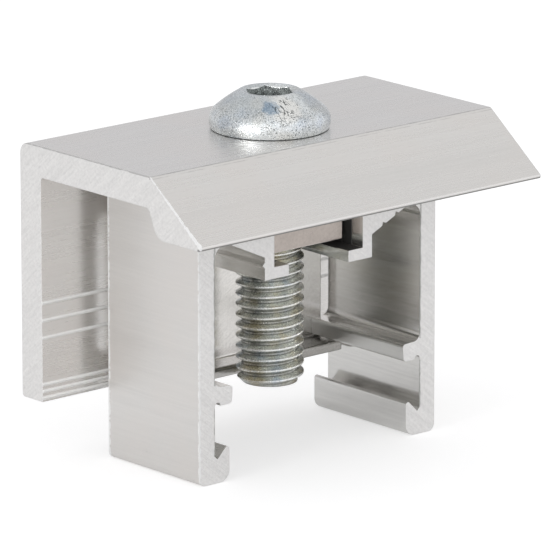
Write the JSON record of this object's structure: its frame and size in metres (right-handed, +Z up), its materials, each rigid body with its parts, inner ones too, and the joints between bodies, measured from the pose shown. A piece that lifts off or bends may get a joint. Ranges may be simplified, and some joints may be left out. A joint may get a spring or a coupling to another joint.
{
  "type": "solar panel end clamp",
  "caption": "End clamp for a solar module frame: an angled top clamp held by a socket bolt and square nut on a profile whose hooked legs grip a rail.",
  "frame": {"origin": "on the bolt's axis, at the level of the profile's feet", "axes": "+Z up along the bolt, +X along the top clamp's extrusion, +Y along the rail, away from the module that the nose holds"},
  "size_m": [0.0516, 0.0314, 0.042],
  "materials": {
    "extrusion": "mill finish",
    "zinc_bolt": "zinc plated",
    "nut": "satin",
    "sheet": "satin"
  },
  "bodies": {
    "base": {"rail_profile": "extrusion", "square_nut": "nut", "guide_angle": "sheet"},
    "clamp_head": {"top_clamp": "extrusion"},
    "bolt": {"bolt": "zinc_bolt"}
  },
  "joints": [
    {"name": "clamp_lift", "type": "slide", "parent": "base", "child": "clamp_head", "axis": [0, 0, 1], "range_m": [0, 0.015]},
    {"name": "bolt_turn", "type": "hinge", "parent": "clamp_head", "child": "bolt", "pos_m": [0, 0, 0.0376], "axis": [0, 0, 1], "range_deg": [0, 4320]}
  ],
  "couplings": [
    {"joint": "bolt_turn", "follows": "clamp_lift", "rad_per_m": 5026.5}
  ]
}
